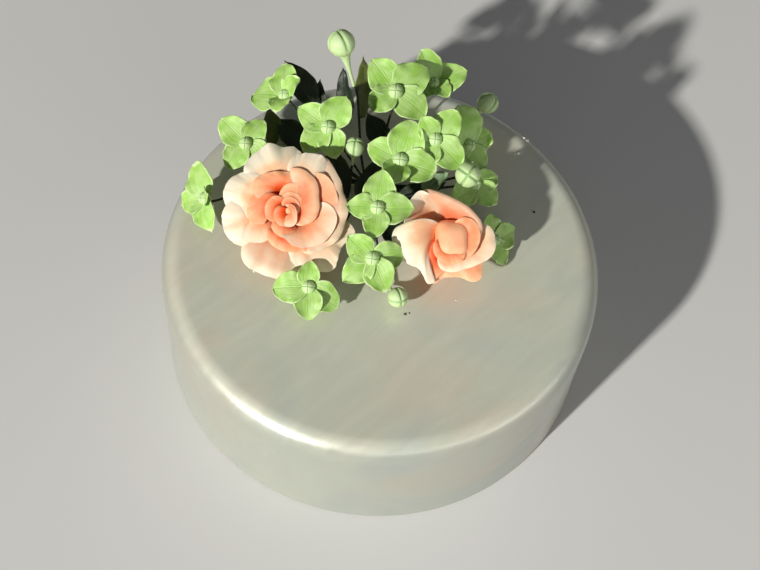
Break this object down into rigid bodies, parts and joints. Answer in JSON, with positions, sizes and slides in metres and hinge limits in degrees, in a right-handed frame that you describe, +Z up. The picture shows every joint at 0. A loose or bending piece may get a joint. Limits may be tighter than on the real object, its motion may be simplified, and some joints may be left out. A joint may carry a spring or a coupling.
{
  "type": "wedding cake with sugar flowers",
  "caption": "Low round cake under smooth pearly fondant, with a wired spray of sugar roses, green blossoms, round buds and dark leaves standing on its top.",
  "frame": {"origin": "middle of the cake's flat foot", "axes": "+Z up; the side that faces the camera in the picture is towards -Y; +X is to the right as the camera sees it"},
  "size_m": [0.25, 0.25, 0.1578],
  "materials": {
    "fondant": "smooth rolled fondant, pale ivory, brushed with a pearly lustre",
    "rose_sugar": "thin matte sugar paste, cream at the rims and peach to orange in the creases",
    "blossom_sugar": "thin matte sugar paste, light green with paler rims",
    "bud_sugar": "matte sugar paste, pale green",
    "leaf_sugar": "thin sugar paste, dark green to olive",
    "wire_tape": "thin wires wound with dark green florist's tape"
  },
  "bodies": {
    "root": {"cake": "fondant", "rose_large": "rose_sugar", "rose_small": "rose_sugar", "blossom_01": "blossom_sugar", "blossom_02": "blossom_sugar", "blossom_03": "blossom_sugar", "blossom_04": "blossom_sugar", "blossom_05": "blossom_sugar", "blossom_06": "blossom_sugar", "blossom_07": "blossom_sugar", "blossom_08": "blossom_sugar", "blossom_09": "blossom_sugar", "blossom_10": "blossom_sugar", "blossom_11": "blossom_sugar", "blossom_12": "blossom_sugar", "blossom_13": "blossom_sugar", "blossom_14": "blossom_sugar", "bud_01": "bud_sugar", "bud_02": "bud_sugar", "bud_03": "bud_sugar", "bud_04": "bud_sugar", "bud_05": "bud_sugar", "stems": "wire_tape", "leaf_01": "leaf_sugar", "leaf_02": "leaf_sugar", "leaf_03": "leaf_sugar", "leaf_04": "leaf_sugar", "leaf_05": "leaf_sugar", "leaf_06": "leaf_sugar", "leaf_07": "leaf_sugar", "leaf_08": "leaf_sugar", "leaf_09": "leaf_sugar", "leaf_10": "leaf_sugar", "leaf_11": "leaf_sugar", "leaf_12": "leaf_sugar"}
  },
  "joints": []
}
